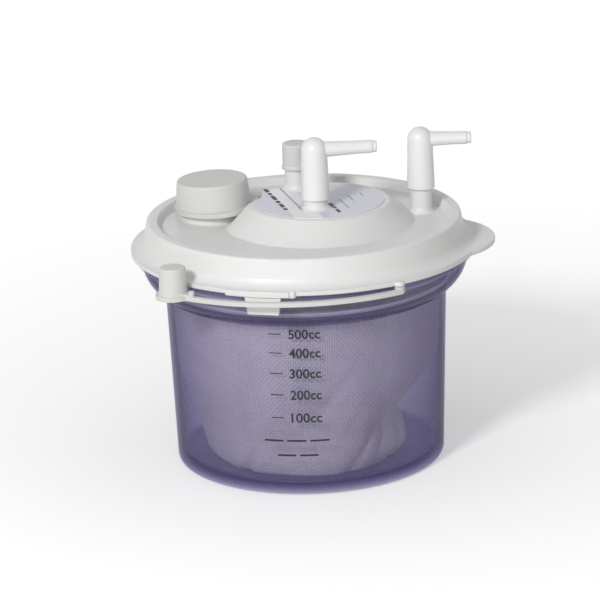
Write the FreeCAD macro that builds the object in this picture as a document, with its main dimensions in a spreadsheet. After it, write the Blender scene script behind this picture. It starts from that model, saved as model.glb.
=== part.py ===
"""Fat collection canister: a tinted clear jar with a mesh filter bag and a lid with ports, caps and a tether.

Millimetres, +Z up. The origin is the centre of the jar's base, and the elbows point along +X.
Azimuths are degrees from -Y, the front, turning towards +X.
"""
import FreeCAD, Part
import math
import os

import Sketcher
from FreeCAD import Placement, Rotation, Vector

NOTES_AND_SIZES = [
    # Jar
    ("jar_top_radius", 59.2, "outer radius of the jar wall under its shoulder"),
    ("jar_draft", 2.5, "narrowing of the wall from there to its foot"),
    ("jar_wall", 2.2, "wall of the jar"),
    ("jar_floor", 4.4, "thickness of the jar's floor"),
    ("jar_foot_round", 2.6, "round at the outside of the foot"),
    ("jar_shoulder_height", 74.2, "height where the wall turns out into the collar"),
    ("hoop_seat_rise", 4.4, "rise from there to the ledge that the bag's hoop rests on"),
    ("hoop_seat_width", 4.6, "width of that ledge"),
    ("collar_rise", 6.0, "rise from that ledge to the collar's foot"),
    ("collar_height", 6.9, "height of the collar, up to the jar's rim"),
    ("collar_step", 8.9, "step out from the wall to the collar"),
    ("bead_reach", 2.5, "reach of the bead round the rim"),
    ("bead_depth", 2.9, "depth of that bead"),
    # Bag and its hoop
    ("hoop_thickness", 1.8, "thickness of the hoop"),
    ("hoop_clearance", 0.4, "gap between the hoop and the jar"),
    ("bag_cloth", 0.8, "thickness of the bag's cloth, with its folds"),
    ("bag_clearance", 0.5, "gap between the bag and the jar"),
    ("bag_floor_gap", 0.4, "gap between the bag's bottom and the jar's floor"),
    ("bag_hem", 3.4, "width of the hem that lies on the hoop"),
    # Lid
    ("lid_wall", 1.9, "wall of the lid"),
    ("brim_overhang", 2.3, "overhang of the lid's brim beyond the bead"),
    ("brim_thickness", 1.8, "thickness of the brim at its edge"),
    ("skirt_inset", 5.5, "step in from the brim's edge to the skirt"),
    ("skirt_foot_rise", 3.7, "rise from the brim to where the skirt leaves its flare"),
    ("skirt_height", 7.8, "height of the skirt above that, up to the raised rim"),
    ("skirt_lean", 1.5, "lean of the skirt over that height"),
    ("rim_width", 4.4, "width of the raised rim"),
    ("trough_depth", 3.3, "depth of the trough inside the rim"),
    ("rim_slope", 1.9, "slope of the rim's inner face over that depth"),
    ("plug_clearance", 0.4, "gap between the lid's plug and the jar's mouth"),
    ("plug_depth", 6.2, "depth of the plug below the brim"),
    ("dome_shift", 6.7, "distance of the dome's axis from the jar's axis"),
    ("dome_inset", 19.6, "step in from the trough's outer edge to the dome's foot"),
    ("dome_slope", 10.5, "step in from there to the flat top"),
    ("dome_height", 9.0, "height of the flat top above the trough"),
    ("plateau_round", 2.0, "round at the edge of the flat top"),
    # Lift lug, tongue and lift tab on the brim
    ("lug_middle", -15.9, "azimuth of the lift lug's middle"),
    ("lug_span", 20.8, "angle that the lift lug spans"),
    ("lug_reach", 0.8, "reach of the lug beyond the brim"),
    ("lug_drop", 0.6, "drop of the lug below the brim"),
    ("lug_end_radius", 1.5, "radius of the knob at the lug's right end"),
    ("lug_end_step", 1.1, "angle from the lug's end to the middle of that knob"),
    ("lug_end_rise", 0.3, "rise of that knob above the brim"),
    ("tongue_azimuth", -14.0, "azimuth of the tongue below the lug"),
    ("tongue_width", 15.7, "width of the tongue at its top"),
    ("tongue_tip_width", 12.8, "width of the tongue at its tip"),
    ("tongue_thickness", 1.6, "thickness of the tongue"),
    ("tongue_drop", 8.1, "drop of the tongue's tip below the brim"),
    ("tongue_clearance", 0.5, "gap between the tongue and the jar's bead"),
    ("tab_radius", 31.5, "radius of the lift tab's round edge at the right"),
    ("tab_reach", 7.3, "reach of the lift tab beyond the brim"),
    ("tab_span", 108.0, "angle that the tab's edge spans about its own centre"),
    # Ports
    ("port_flare", 1.6, "flare at the foot of each port"),
    ("port_flare_height", 3.0, "height of that flare"),
    ("vacuum_port_reach", 11.2, "vacuum port, distance from the dome's axis"),
    ("vacuum_port_azimuth", -7.2, "vacuum port, azimuth about that axis"),
    ("vacuum_port_radius", 5.0, "vacuum port, radius of the stem"),
    ("vacuum_port_shoulder", 4.0, "vacuum port, height of the stem above the plateau"),
    ("inlet_port_inset", 8.6, "inlet port, distance from the trough's outer edge"),
    ("inlet_port_azimuth", 101.9, "inlet port, azimuth about the jar's axis"),
    ("inlet_port_radius", 4.5, "inlet port, radius of the stem"),
    ("inlet_port_shoulder", 10.4, "inlet port, height of the stem above the trough"),
    ("tandem_port_inset", 6.6, "tandem port, distance from the edge of the flat top"),
    ("tandem_port_azimuth", -156.6, "tandem port, azimuth about the dome's axis"),
    ("tandem_port_radius", 5.0, "tandem port, radius of the stem"),
    ("tandem_port_shoulder", 8.7, "tandem port, height of the stem above the plateau"),
    ("nipple_radius", 3.9, "radius of the nipple that an elbow or cap sits on"),
    ("nipple_height", 9.0, "height of that nipple above its shoulder"),
    ("port_bore", 2.3, "radius of the bore through each port"),
    ("fit_clearance", 0.06, "radial clearance of what turns or pulls off a port"),
    ("seat_gap", 0.3, "axial gap between an elbow or cap and its shoulder"),
    # Elbows
    ("elbow_foot_radius", 5.9, "outer radius of an elbow at its foot"),
    ("elbow_top_radius", 5.35, "outer radius of an elbow below its round top"),
    ("elbow_height", 26.1, "height of an elbow"),
    ("elbow_outlet_height", 20.8, "height of the side tube above the elbow's foot"),
    ("outlet_root_radius", 3.45, "radius of the side tube at its root"),
    ("outlet_radius", 2.8, "radius of the side tube where a hose is pushed on"),
    ("outlet_grip", 8.5, "length of that stretch"),
    ("outlet_tip_step", 0.3, "step in radius at the tip"),
    ("outlet_tip_length", 2.0, "length of the tip beyond the step"),
    ("outlet_bore", 1.8, "radius of the side tube's bore"),
    ("vacuum_outlet_reach", 26.0, "reach of the vacuum elbow's side tube from its axis"),
    ("inlet_outlet_reach", 21.5, "reach of the inlet elbow's side tube from its axis"),
    ("vacuum_elbow_turn", 6.0, "direction of the vacuum elbow, from +X towards the back"),
    # Tandem cap
    ("tandem_cap_radius", 5.75, "outer radius of the tandem cap at its top"),
    ("tandem_cap_foot_radius", 6.1, "outer radius of the tandem cap at its foot"),
    ("tandem_cap_height", 11.0, "height of the tandem cap"),
    ("cap_round", 0.9, "round at the top edge of the small caps"),
    # Pour spout and its cap
    ("spout_inset", 19.8, "pour spout, distance from the trough's outer edge"),
    ("spout_azimuth", -109.1, "pour spout, azimuth about the jar's axis"),
    ("spout_lean", 2.0, "lean of the pour spout to the left"),
    ("spout_radius", 14.0, "outer radius of the pour spout"),
    ("spout_wall", 1.8, "wall of the pour spout"),
    ("spout_cap_base", 4.0, "height of the cap's flange above the trough"),
    ("spout_cap_height", 12.8, "height of the cap, with its flange"),
    ("spout_cap_radius", 15.9, "outer radius of the cap above its flange"),
    ("spout_cap_top_radius", 14.85, "outer radius of the cap's top"),
    ("spout_cap_roof", 1.8, "thickness of the cap's top"),
    ("spout_cap_round", 1.0, "round at the cap's top edge"),
    ("spout_flange_radius", 17.9, "radius of the cap's flange"),
    ("spout_flange_thickness", 1.9, "thickness of the cap's flange"),
    ("spout_flange_shift", 1.3, "shift of the flange to the right, which makes its thumb edge"),
    ("thumb_tab_width", 9.0, "width of the thumb tab at the flange's right end"),
    ("thumb_tab_reach", 0.8, "reach of the thumb tab beyond the flange"),
    ("spout_recess_gap", 1.4, "gap between the cap's flange and the recess in the dome"),
    # Tether with its cap, and the stud that holds it
    ("strap_reach", 4.15, "distance of the strap's arc beyond the brim's radius"),
    ("strap_shift", -4.35, "shift of that arc to the right"),
    ("strap_width", 2.4, "width of the strap"),
    ("strap_height", 1.8, "height of the strap"),
    ("strap_drop", 3.0, "drop of the strap's foot below the brim"),
    ("strap_end_azimuth", 33.9, "azimuth of the strap's end on the arc"),
    ("eye_azimuth", 31.1, "azimuth of the eye at that end, about the jar's axis"),
    ("eye_reach", 0.3, "distance of the eye's middle beyond the brim's radius"),
    ("cap_azimuth", -39.9, "azimuth of the cap on the arc"),
    ("stud_radius", 1.0, "radius of the stud under the brim"),
    ("stud_gap", 0.3, "gap above the eye and below the stud"),
    ("eye_wall", 1.0, "wall of that eye"),
    ("rib_step", 7.0, "angle from the cap to the rib where the strap meets its flange"),
    ("rib_rise", 2.2, "rise of that rib above the strap"),
    ("web_rise", 0.8, "rise of the web between rib and cap above the strap"),
    ("tether_cap_radius", 5.35, "tether cap, radius at its top"),
    ("tether_cap_foot_radius", 5.75, "tether cap, radius above its flange"),
    ("tether_flange_radius", 7.2, "tether cap, radius of its flange"),
    ("tether_flange_thickness", 1.8, "tether cap, thickness of its flange"),
    ("tether_cap_height", 13.0, "tether cap, height"),
    ("tether_cap_roof", 2.0, "tether cap, thickness of its top"),
    # Label
    ("label_inset", 2.1, "distance of the label's edge from the edge of the flat top"),
    ("label_thickness", 0.25, "thickness of the label"),
    ("label_margin", 1.0, "gap between the label and what stands in its holes"),
    # Shut-off float under the vacuum port
    ("valve_boss_radius", 8.6, "outer radius of the boss that carries the float housing"),
    ("valve_boss_wall", 1.8, "wall of that boss"),
    ("valve_boss_depth", 5.0, "depth of that boss below the dome"),
    ("housing_wall", 1.5, "wall of the float housing"),
    ("housing_depth", 22.4, "depth of the float housing"),
    ("housing_floor", 1.6, "thickness of the float housing's floor"),
    ("housing_floor_bore", 4.5, "radius of the hole in that floor"),
    ("housing_window_width", 6.0, "width of the windows in the housing"),
    ("housing_window_height", 9.0, "height of those windows"),
    ("float_radius", 7.9, "radius of the float"),
    ("float_body_height", 9.0, "height of the float's wide part"),
    ("float_neck_radius", 5.6, "radius of the float's neck"),
    ("float_height", 13.2, "height of the float"),
    ("float_wall", 1.2, "wall of the hollow float"),
    ("float_seal_radius", 4.6, "radius of the soft disc on the float"),
    ("float_seal_thickness", 1.2, "thickness of that disc"),
]

BAG_LEVELS = [
    # share of the bag's depth, then shares of its mouth radius: at the left, at the right, depth of the folds
    (0.00, 1.000, 1.000, 0.000),
    (0.14, 0.992, 0.994, 0.000),
    (0.40, 0.980, 0.970, 0.009),
    (0.54, 0.958, 0.895, 0.019),
    (0.66, 0.905, 0.795, 0.028),
    (0.74, 0.865, 0.725, 0.034),
    (0.84, 0.820, 0.740, 0.034),
    (0.94, 0.770, 0.755, 0.028),
    (1.00, 0.700, 0.690, 0.018),
]
BAG_FOLDS = 7
BAG_POINTS = 42
FULL_TURN = 360
OVERLAP = 1.0
HALF_RIGHT_ANGLE_SINE = 0.7071


class Length:
    """A size with its value and the sheet formula that gives it."""

    def __init__(self, value, formula):
        self.value = value
        self.formula = formula

    def __add__(self, other):
        other = length(other)
        return Length(self.value + other.value, f"({self.formula} + {other.formula})")

    def __sub__(self, other):
        other = length(other)
        return Length(self.value - other.value, f"({self.formula} - {other.formula})")

    def __mul__(self, other):
        other = length(other)
        return Length(self.value * other.value, f"({self.formula} * {other.formula})")

    def __truediv__(self, other):
        other = length(other)
        return Length(self.value / other.value, f"({self.formula} / {other.formula})")

    def __radd__(self, other):
        return length(other) + self

    def __rsub__(self, other):
        return length(other) - self

    def __rmul__(self, other):
        return length(other) * self

    def __neg__(self):
        return Length(-self.value, f"(-{self.formula})")


def length(number):
    """Give a plain number or a Length as a Length."""
    if isinstance(number, Length):
        return number
    return Length(float(number), f"({float(number)})")


def sine(angle):
    angle = length(angle)
    return Length(math.sin(math.radians(angle.value)), f"sin({angle.formula} * 1deg)")


def cosine(angle):
    angle = length(angle)
    return Length(math.cos(math.radians(angle.value)), f"cos({angle.formula} * 1deg)")


class Via(tuple):
    """A point that the arc between its two neighbours in an outline passes through."""


doc = FreeCAD.newDocument("fat_collection_canister")
sheet = doc.addObject("Spreadsheet::Sheet", "Sizes")
for row, (alias, number, note) in enumerate(NOTES_AND_SIZES, start=1):
    sheet.set(f"A{row}", note)
    sheet.set(f"B{row}", str(number))
    sheet.setAlias(f"B{row}", alias)
doc.recompute()


def size(alias):
    """Read a size from the sheet, with the formula that binds to it."""
    return Length(float(sheet.get(alias)), f"Sizes.{alias}")


def bind(thing, **sizes):
    """Set properties of an object and bind them to the sheet."""
    for name, given in sizes.items():
        given = length(given)
        setattr(thing, name, given.value)
        thing.setExpression(name, given.formula)
    return thing


def place(thing, x=0, y=0, z=0, axis=None, angle=0):
    """Move an object to a bound position, with one bound turn about an axis."""
    spot = [length(x), length(y), length(z)]
    turn = length(angle)
    rotation = Rotation(axis or Vector(0, 0, 1), turn.value)
    thing.Placement = Placement(Vector(*(part.value for part in spot)), rotation)
    for letter, part in zip("xyz", spot):
        thing.setExpression(f".Placement.Base.{letter}", part.formula)
    if turn.value != 0:
        thing.setExpression(".Placement.Rotation.Angle", turn.formula)
    return thing


def origin_plane(body, role):
    return next(plane for plane in body.Origin.OriginFeatures if plane.Role == role)


def pin_point(sketch, geometry, end, x, y):
    """Fix one point of a sketch at a bound place."""
    for kind, axis, given in (("DistanceX", -2, x), ("DistanceY", -1, y)):
        given = length(given)
        if given.value == 0:
            sketch.addConstraint(Sketcher.Constraint("PointOnObject", geometry, end, axis))
        else:
            number = sketch.addConstraint(Sketcher.Constraint(kind, -1, 1, geometry, end, given.value))
            sketch.setExpression(f"Constraints[{number}]", given.formula)


def arc_through(start, middle, end):
    """Make an arc through three points, and say which of its ends is the start."""
    circle = Part.Arc(start, middle, end).toShape().Curve
    angles = [math.atan2(point.y - circle.Center.y, point.x - circle.Center.x) for point in (start, end)]
    turn = (middle - start).cross(end - middle).z
    flat_circle = Part.Circle(circle.Center, Vector(0, 0, 1), circle.Radius)
    if turn > 0:
        return Part.ArcOfCircle(flat_circle, angles[0], angles[1]), (1, 2)
    return Part.ArcOfCircle(flat_circle, angles[1], angles[0]), (2, 1)


def outline(body, name, stops):
    """Draw a closed outline in the body's XZ plane from (distance, height) stops, all bound to the sheet."""
    sketch = body.newObject("Sketcher::SketchObject", name)
    sketch.AttachmentSupport = (origin_plane(body, "XZ_Plane"), [""])
    sketch.MapMode = "FlatFace"
    spots = [Vector(length(x).value, length(z).value, 0) for x, z in stops]
    corners = [number for number, stop in enumerate(stops) if not isinstance(stop, Via)]
    pieces = []
    for here, there in zip(corners, corners[1:] + corners[:1]):
        bend = (here + 1) % len(stops)
        if bend == there:
            pieces.append((sketch.addGeometry(Part.LineSegment(spots[here], spots[there])), (1, 2)))
            continue
        arc, ends = arc_through(spots[here], spots[bend], spots[there])
        geometry = sketch.addGeometry(arc)
        pieces.append((geometry, ends))
        marker = sketch.addGeometry(Part.Point(spots[bend]), True)
        sketch.addConstraint(Sketcher.Constraint("PointOnObject", marker, 1, geometry))
        pin_point(sketch, marker, 1, *stops[bend])
    for (this, this_ends), (other, other_ends) in zip(pieces, pieces[1:] + pieces[:1]):
        sketch.addConstraint(Sketcher.Constraint("Coincident", this, this_ends[1], other, other_ends[0]))
    for (geometry, ends), corner in zip(pieces, corners):
        pin_point(sketch, geometry, ends[0], *stops[corner])
    return sketch


def round_edges(body, spots, radius):
    """Round the circular edges of a turned body that lie at the given (radius, height) spots."""
    doc.recompute()
    shape = body.Shape
    names = []
    for number, edge in enumerate(shape.Edges, start=1):
        if not isinstance(edge.Curve, Part.Circle):
            continue
        for reach, height in spots:
            same_reach = abs(edge.Curve.Radius - length(reach).value) < 0.01
            if same_reach and abs(edge.Curve.Center.z - length(height).value) < 0.01:
                names.append(f"Edge{number}")
    if len(names) != len(spots):
        raise RuntimeError(f"{body.Name}: {len(names)} edges found for {len(spots)} rounds")
    base = body.Tip
    fillet = body.newObject("PartDesign::Fillet", f"{body.Name}_round")
    fillet.Base = (base, names)
    bind(fillet, Radius=radius)
    body.Tip = fillet
    return body


def turned(name, stops, span=FULL_TURN, along_x=False):
    """Turn an outline about the body's Z axis, or about its X axis for a tube that lies along X."""
    body = doc.addObject("PartDesign::Body", name)
    sketch = outline(body, f"{name}_outline", stops)
    turn = body.newObject("PartDesign::Revolution", f"{name}_turn")
    turn.Profile = sketch
    turn.ReferenceAxis = (sketch, ["H_Axis" if along_x else "V_Axis"])
    turn.Midplane = True
    bind(turn, Angle=span)
    body.Tip = turn
    return body


def plate(name, stops, thickness):
    """Pad an outline in the body's XZ plane to half its thickness on each side."""
    body = doc.addObject("PartDesign::Body", name)
    sketch = outline(body, f"{name}_outline", stops)
    pad = body.newObject("PartDesign::Pad", f"{name}_pad")
    pad.Profile = sketch
    pad.Midplane = True
    bind(pad, Length=thickness)
    body.Tip = pad
    return body


def rod(name, radius, height, **spot):
    """A plain cylinder, for a pin, a boss or a bore."""
    cylinder = doc.addObject("Part::Cylinder", name)
    bind(cylinder, Radius=radius, Height=height)
    return place(cylinder, **spot)


def fused(name, pieces):
    union = doc.addObject("Part::MultiFuse", name)
    union.Shapes = pieces
    union.Refine = True
    return union


def cut(name, base, tool):
    difference = doc.addObject("Part::Cut", name)
    difference.Base = base
    difference.Tool = tool
    difference.Refine = True
    return difference


def on_circle(radius, azimuth, shift=0):
    """The place at an azimuth on a circle whose centre is shifted along X."""
    return {"x": shift + radius * sine(azimuth), "y": -(radius * cosine(azimuth))}


# Jar
jar_top_radius = size("jar_top_radius")
jar_foot_radius = jar_top_radius - size("jar_draft")
jar_wall = size("jar_wall")
jar_inner_floor = size("jar_floor")
jar_shoulder_height = size("jar_shoulder_height")
hoop_seat_height = jar_shoulder_height + size("hoop_seat_rise")
jar_collar_radius = jar_top_radius + size("collar_step")
jar_collar_height = hoop_seat_height + size("collar_rise")
jar_height = jar_collar_height + size("collar_height")
jar_bead_radius = jar_collar_radius + size("bead_reach")
jar_mouth_radius = jar_collar_radius - jar_wall
seat_inner_radius = jar_top_radius - jar_wall
seat_outer_radius = seat_inner_radius + size("hoop_seat_width")
shoulder_rise = jar_collar_height - jar_shoulder_height
shoulder_reach = jar_collar_radius - jar_top_radius


def make_jar():
    bead_foot = jar_height - size("bead_depth")
    body = turned("jar", [
        (0, 0),
        (jar_foot_radius, 0),
        (jar_top_radius, jar_shoulder_height),
        Via((jar_top_radius + 0.62 * shoulder_reach, jar_shoulder_height + 0.4 * shoulder_rise)),
        (jar_collar_radius, jar_collar_height),
        (jar_collar_radius, bead_foot),
        (jar_bead_radius, bead_foot),
        (jar_bead_radius, jar_height),
        (jar_mouth_radius, jar_height),
        (jar_mouth_radius, jar_collar_height + 0.4 * jar_wall),
        Via((seat_outer_radius + 0.7 * (jar_mouth_radius - seat_outer_radius),
             hoop_seat_height + 0.36 * (jar_collar_height + 0.4 * jar_wall - hoop_seat_height))),
        (seat_outer_radius, hoop_seat_height),
        (seat_inner_radius, hoop_seat_height),
        (seat_inner_radius, jar_shoulder_height),
        (jar_foot_radius - jar_wall, jar_inner_floor),
        (0, jar_inner_floor),
    ])
    round_edges(body, [(jar_foot_radius, 0)], size("jar_foot_round"))
    round_edges(body, [(jar_foot_radius - jar_wall, jar_inner_floor)], jar_wall)
    return body


# Bag and hoop
def make_hoop():
    gap = size("hoop_clearance")
    top = hoop_seat_height + size("hoop_thickness")
    body = turned("bag_hoop", [
        (seat_inner_radius + gap, hoop_seat_height),
        (seat_outer_radius - gap, hoop_seat_height),
        (seat_outer_radius - gap, top),
        (seat_inner_radius + gap, top),
    ])
    return round_edges(body, [(seat_inner_radius + gap, top), (seat_outer_radius - gap, top)], gap)


def bag_level(share, left, right, fold, inset, height):
    """One closed line round the bag, wider on one side where the cloth bulges, with shallow folds."""
    mouth = seat_inner_radius.value - size("bag_clearance").value
    points = []
    for number in range(BAG_POINTS):
        azimuth = 2 * math.pi * number / BAG_POINTS
        side = 0.5 + 0.5 * math.sin(azimuth)
        reach = mouth * (left + (right - left) * side) - inset
        reach += mouth * fold * (math.cos(BAG_FOLDS * azimuth + 5 * share) - 1)
        points.append(Vector(reach * math.sin(azimuth), -reach * math.cos(azimuth), height))
    return Part.makePolygon(points + points[:1])


def bag_skin(inset, lift, collar):
    """The solid inside one face of the cloth, from a collar above the hem down to the bag's bottom."""
    top = hoop_seat_height.value + size("hoop_thickness").value
    depth = top - jar_inner_floor.value - size("bag_floor_gap").value - lift
    share, left, right, fold = BAG_LEVELS[0]
    wires = [bag_level(share, left, right, fold, inset, top + collar)]
    for share, left, right, fold in BAG_LEVELS:
        wires.append(bag_level(share, left, right, fold, inset, top - share * depth))
    return Part.makeLoft(wires, True, True)


def make_bag():
    cloth = size("bag_cloth").value
    top = hoop_seat_height.value + size("hoop_thickness").value
    mouth = seat_inner_radius.value - size("bag_clearance").value
    hem = Part.makeCylinder(mouth + size("bag_hem").value, cloth, Vector(0, 0, top))
    outside = bag_skin(0, 0, cloth).fuse(hem)
    feature = doc.addObject("Part::Feature", "bag")
    feature.Shape = outside.cut(bag_skin(cloth, cloth, 1.5 * cloth)).Solids[0]
    return feature


# Lid heights and radii, and its ports
nipple_radius = size("nipple_radius")
nipple_height = size("nipple_height")
brim_radius = jar_bead_radius + size("brim_overhang")
brim_top = jar_height + size("brim_thickness")
skirt_foot_radius = brim_radius - size("skirt_inset")
skirt_foot_height = brim_top + size("skirt_foot_rise")
rim_radius = skirt_foot_radius - size("skirt_lean")
rim_inner_radius = rim_radius - size("rim_width")
rim_height = skirt_foot_height + size("skirt_height")
trough_radius = rim_inner_radius - size("rim_slope")
trough_height = rim_height - size("trough_depth")
dome_shift = size("dome_shift")
dome_radius = trough_radius - size("dome_inset")
plateau_radius = dome_radius - size("dome_slope")
plateau_height = trough_height + size("dome_height")
PORT_HEIGHTS = {"vacuum": plateau_height, "tandem": plateau_height, "inlet": trough_height}
PORT_SPOTS = {
    "vacuum": on_circle(size("vacuum_port_reach"), size("vacuum_port_azimuth"), dome_shift),
    "tandem": on_circle(plateau_radius - size("tandem_port_inset"), size("tandem_port_azimuth"),
                        dome_shift),
    "inlet": on_circle(trough_radius - size("inlet_port_inset"), size("inlet_port_azimuth")),
}


def make_port(port):
    stem = size(f"{port}_port_radius")
    shoulder = size(f"{port}_port_shoulder")
    flare = size("port_flare")
    flare_height = size("port_flare_height")
    top = shoulder + nipple_height
    body = turned(f"{port}_port", [
        (0, -OVERLAP),
        (stem + flare, -OVERLAP),
        (stem + flare, 0),
        Via((stem + 0.3 * flare, 0.32 * flare_height)),
        (stem, flare_height),
        (stem, shoulder),
        (nipple_radius, shoulder),
        (nipple_radius, top),
        (0, top),
    ])
    round_edges(body, [(nipple_radius, top)], 0.25 * nipple_radius)
    return place(body, z=PORT_HEIGHTS[port], **PORT_SPOTS[port])


def make_port_bore(port):
    depth = size("lid_wall") + OVERLAP
    top = size(f"{port}_port_shoulder") + nipple_height + OVERLAP
    return rod(f"{port}_port_bore", size("port_bore"), depth + top, z=PORT_HEIGHTS[port] - depth, **PORT_SPOTS[port])


# Lid
lid_wall = size("lid_wall")
plug_radius = jar_mouth_radius - size("plug_clearance")
plug_foot = jar_height - size("plug_depth")
spout_spot = on_circle(trough_radius - size("spout_inset"), size("spout_azimuth"))
spout_lean = size("spout_lean")
spout_radius = size("spout_radius")
flange_reach = size("spout_flange_radius")
flange_shift = size("spout_flange_shift")
spout_cap_hollow = size("spout_cap_base") + size("spout_cap_height") - size("spout_cap_roof")
spout_height = spout_cap_hollow - size("seat_gap")
spout_place = {**spout_spot, "z": trough_height, "axis": Vector(0, -1, 0), "angle": spout_lean}


def lid_disc():
    """The skirt, brim, raised rim and trough as one turned disc."""
    brim_run = brim_radius - skirt_foot_radius
    flare_rise = skirt_foot_height - brim_top
    body = turned("lid_disc", [
        (0, plug_foot),
        (plug_radius - 0.4 * lid_wall, plug_foot),
        (plug_radius, plug_foot + 0.4 * lid_wall),
        (plug_radius, jar_height),
        (brim_radius, jar_height),
        (brim_radius, brim_top),
        Via((skirt_foot_radius + 0.32 * brim_run, brim_top + 0.28 * flare_rise)),
        (skirt_foot_radius, skirt_foot_height),
        (rim_radius, rim_height),
        (rim_inner_radius, rim_height),
        (trough_radius, trough_height),
        (0, trough_height),
    ])
    round_edges(body, [(rim_radius, rim_height), (rim_inner_radius, rim_height)], 0.55 * lid_wall)
    return body


def lid_cavity():
    """The hollow below the trough and inside the plug."""
    inner = plug_radius - lid_wall
    ceiling = trough_height - lid_wall
    return turned("lid_cavity", [
        (0, plug_foot - OVERLAP),
        (inner, plug_foot - OVERLAP),
        (inner, ceiling - lid_wall),
        (inner - lid_wall, ceiling),
        (0, ceiling),
    ])


def dome(name, inset, foot, recess_gap, rounding):
    """The dome, or its hollow, with the recess that clears the pour spout's cap."""
    top = plateau_height - inset
    slope = (dome_radius - plateau_radius) / (plateau_height - trough_height)
    top_radius = plateau_radius - 0.4 * inset
    body = turned(f"{name}_cone", [
        (0, foot),
        (top_radius + slope * (top - foot), foot),
        (top_radius, top),
        (0, top),
    ])
    round_edges(body, [(top_radius, top)], rounding)
    place(body, x=dome_shift)
    recess = rod(
        f"{name}_recess",
        flange_reach + size("spout_recess_gap") + recess_gap,
        plateau_height - trough_height + 4 * OVERLAP,
        x=spout_spot["x"] + flange_shift,
        y=spout_spot["y"],
        z=foot - OVERLAP,
    )
    return cut(name, body, recess)


def make_lug():
    """The lift lug, an arc of thicker brim that reaches out and down past the jar's bead."""
    inner = jar_bead_radius + size("tongue_clearance")
    outer = brim_radius + size("lug_reach")
    body = turned("lift_lug", [
        (inner, jar_height - size("lug_drop")),
        (outer, jar_height - size("lug_drop")),
        (outer, brim_top),
        (inner, brim_top),
    ], span=size("lug_span"))
    return place(body, angle=size("lug_middle") - 90)


def make_lug_end():
    """The round knob that closes the lug at its right end."""
    radius = size("lug_end_radius")
    top = brim_top + size("lug_end_rise")
    body = turned("lug_end", [
        (0, jar_height - size("lug_drop")),
        (radius, jar_height - size("lug_drop")),
        (radius, top),
        (0, top),
    ])
    round_edges(body, [(radius, top)], 0.4 * radius)
    azimuth = size("lug_middle") + size("lug_span") / 2 + size("lug_end_step")
    return place(body, **on_circle(jar_bead_radius + size("tongue_clearance") + radius, azimuth))


def make_tab():
    """The flat lift tab, a round lobe of the brim at the right."""
    radius = size("tab_radius")
    reach = size("tab_reach")
    inner = radius - reach - size("brim_thickness")
    body = turned("lift_tab", [
        (inner, jar_height),
        (radius, jar_height),
        (radius, brim_top),
        (inner, brim_top),
    ], span=size("tab_span"))
    round_edges(body, [(radius, brim_top)], 0.3 * size("brim_thickness"))
    return place(body, x=brim_radius + reach - radius)


def make_tongue():
    """The tapered tongue that hangs from the lug, just outside the jar's bead."""
    half_top = size("tongue_width") / 2
    half_tip = size("tongue_tip_width") / 2
    thickness = size("tongue_thickness")
    middle = jar_bead_radius + size("tongue_clearance") + thickness / 2
    body = plate("latch_tongue", [
        (-half_tip, jar_height - size("tongue_drop")),
        (half_tip, jar_height - size("tongue_drop")),
        (half_top, brim_top - OVERLAP / 2),
        (-half_top, brim_top - OVERLAP / 2),
    ], thickness)
    azimuth = size("tongue_azimuth")
    return place(body, angle=azimuth, **on_circle(middle, azimuth))


# Tether and the stud that holds it
strap_height = size("strap_height")
strap_foot = jar_height - size("strap_drop")
strap_radius = brim_radius + size("strap_reach")
strap_shift = size("strap_shift")
stud_radius = size("stud_radius")
stud_gap = size("stud_gap")
eye_bore = stud_radius + size("fit_clearance")
eye_radius = eye_bore + size("eye_wall")
eye_floor = strap_foot + size("eye_wall")
eye_spot = on_circle(brim_radius + size("eye_reach"), size("eye_azimuth"))


def make_ear():
    """The ear at the brim's edge, with the stud below it."""
    body = turned("tether_ear", [
        (0, eye_floor + stud_gap),
        (stud_radius, eye_floor + stud_gap),
        (stud_radius, jar_height),
        (eye_radius, jar_height),
        (eye_radius, brim_top),
        (0, brim_top),
    ])
    round_edges(body, [(eye_radius, brim_top)], size("brim_thickness") / 2)
    return place(body, **eye_spot)


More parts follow.
